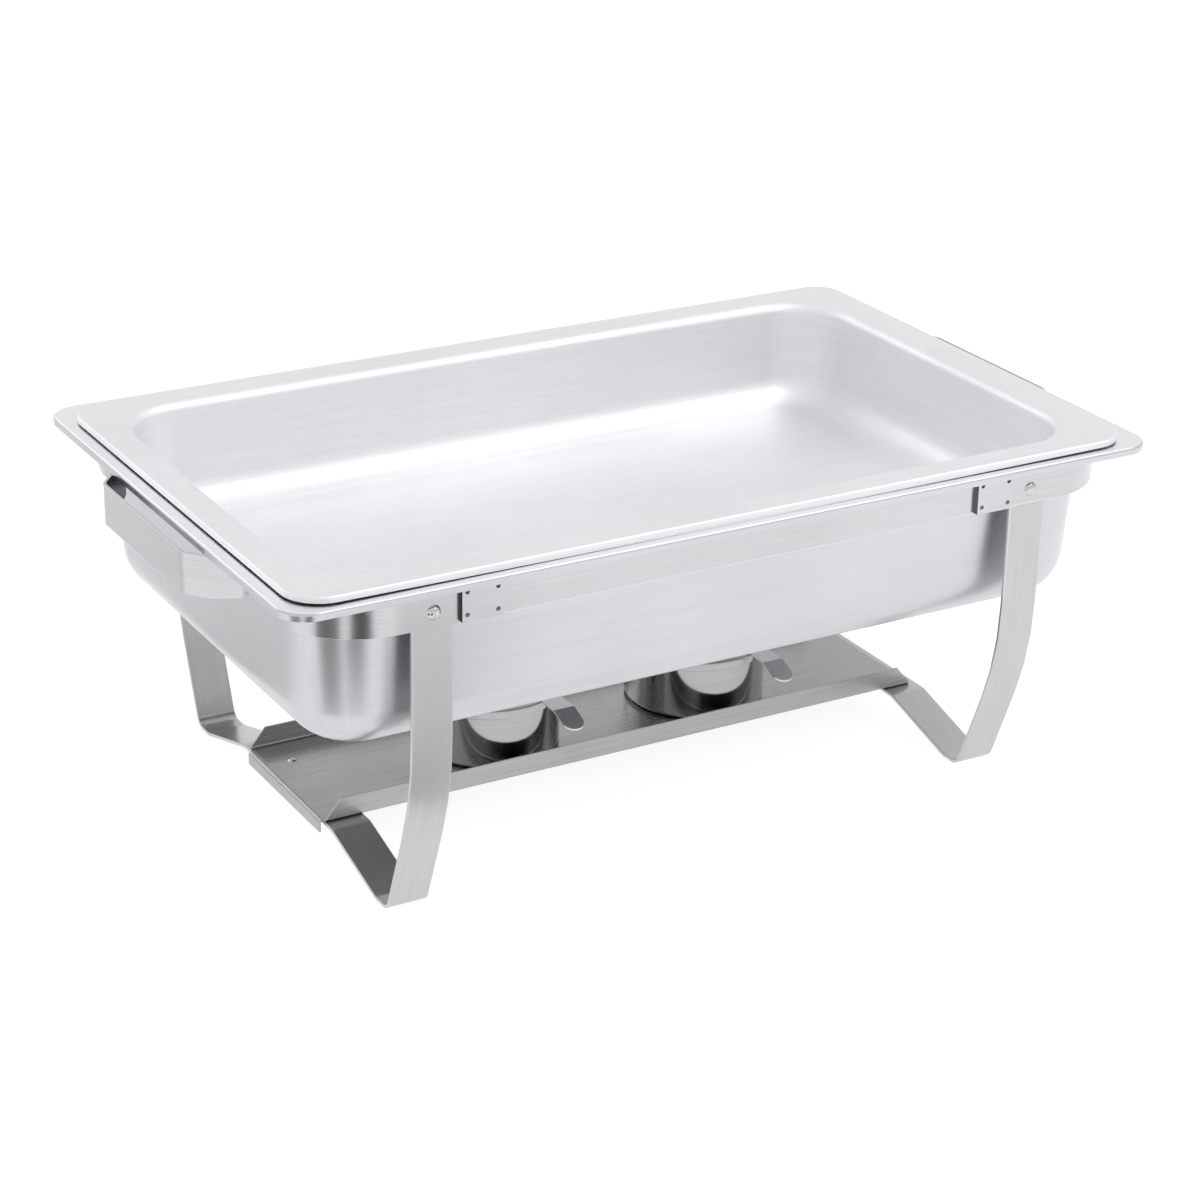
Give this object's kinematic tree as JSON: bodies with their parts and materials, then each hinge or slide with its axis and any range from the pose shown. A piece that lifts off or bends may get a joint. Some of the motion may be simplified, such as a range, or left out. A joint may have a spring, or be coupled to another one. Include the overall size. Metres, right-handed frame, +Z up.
{
  "type": "chafing dish food warmer",
  "caption": "Rectangular stainless steel chafing dish: full-size food pan in a water pan, strap frame with bent handles, folding W-shaped legs, fuel shelf and lidded fuel cups.",
  "frame": {"origin": "on the surface that the feet stand on, below the middle of the pans", "axes": "+X along the pans to the right, -Y towards the front, +Z up"},
  "size_m": [0.57, 0.346, 0.2095],
  "materials": {
    "food_pan_steel": "satin",
    "water_pan_steel": "satin",
    "frame_steel": "satin",
    "leg_steel": "brushed along the strap",
    "plate_steel": "satin",
    "shelf_steel": "dull satin",
    "polished_steel": "mirror polished stainless steel",
    "damper_steel": "satin",
    "rivet_steel": "polished"
  },
  "bodies": {
    "frame": {"left_end_rail": "frame_steel", "right_end_rail": "frame_steel", "front_side_rail": "frame_steel", "back_side_rail": "frame_steel", "front_left_splice_plate": "plate_steel", "front_right_splice_plate": "plate_steel", "back_left_splice_plate": "plate_steel", "back_right_splice_plate": "plate_steel", "leg_pivot_rivets": "rivet_steel"},
    "left_leg": {"left_leg": "leg_steel"},
    "right_leg": {"right_leg": "leg_steel"},
    "water_pan": {"water_pan": "water_pan_steel"},
    "food_pan": {"food_pan": "food_pan_steel"},
    "fuel_shelf": {"fuel_shelf": "shelf_steel", "shelf_stud": "rivet_steel"},
    "left_cup": {"left_fuel_cup": "polished_steel"},
    "left_lid": {"left_cup_lid": "polished_steel", "left_damper_rivet": "rivet_steel"},
    "left_damper": {"left_damper": "damper_steel"},
    "right_cup": {"right_fuel_cup": "polished_steel"},
    "right_lid": {"right_cup_lid": "polished_steel", "right_damper_rivet": "rivet_steel"},
    "right_damper": {"right_damper": "damper_steel"}
  },
  "joints": [
    {"name": "water_pan_lift", "type": "slide", "parent": "frame", "child": "water_pan", "axis": [0, 0, 1], "range_m": [0, 0.22]},
    {"name": "food_pan_lift", "type": "slide", "parent": "water_pan", "child": "food_pan", "axis": [0, 0, 1], "range_m": [0, 0.1]},
    {"name": "left_leg_fold", "type": "hinge", "parent": "frame", "child": "left_leg", "pos_m": [-0.191, 0, 0.189], "axis": [0, -1, 0], "range_deg": [0, 90]},
    {"name": "right_leg_fold", "type": "hinge", "parent": "frame", "child": "right_leg", "pos_m": [0.191, 0, 0.189], "axis": [0, 1, 0], "range_deg": [0, 90]},
    {"name": "shelf_lift", "type": "slide", "parent": "frame", "child": "fuel_shelf", "axis": [0, 0, 1], "range_m": [0, 0.1965]},
    {"name": "left_cup_lift", "type": "slide", "parent": "fuel_shelf", "child": "left_cup", "axis": [0, 0, 1], "range_m": [0, 0.0125]},
    {"name": "left_lid_lift", "type": "slide", "parent": "left_cup", "child": "left_lid", "axis": [0, 0, 1], "range_m": [0, 0.0315]},
    {"name": "left_damper_swing", "type": "hinge", "parent": "left_lid", "child": "left_damper", "pos_m": [-0.072, 0.034, 0.0571], "axis": [0, 0, -1], "range_deg": [0, 80]},
    {"name": "right_cup_lift", "type": "slide", "parent": "fuel_shelf", "child": "right_cup", "axis": [0, 0, 1], "range_m": [0, 0.0125]},
    {"name": "right_lid_lift", "type": "slide", "parent": "right_cup", "child": "right_lid", "axis": [0, 0, 1], "range_m": [0, 0.0315]},
    {"name": "right_damper_swing", "type": "hinge", "parent": "right_lid", "child": "right_damper", "pos_m": [0.072, 0.034, 0.0571], "axis": [0, 0, 1], "range_deg": [0, 80]}
  ],
  "couplings": [
    {"joint": "left_leg_fold", "follows": "water_pan_lift", "rad_per_m": 7.1384},
    {"joint": "right_leg_fold", "follows": "water_pan_lift", "rad_per_m": 7.1384},
    {"joint": "shelf_lift", "follows": "water_pan_lift", "ratio": 0.8923}
  ]
}
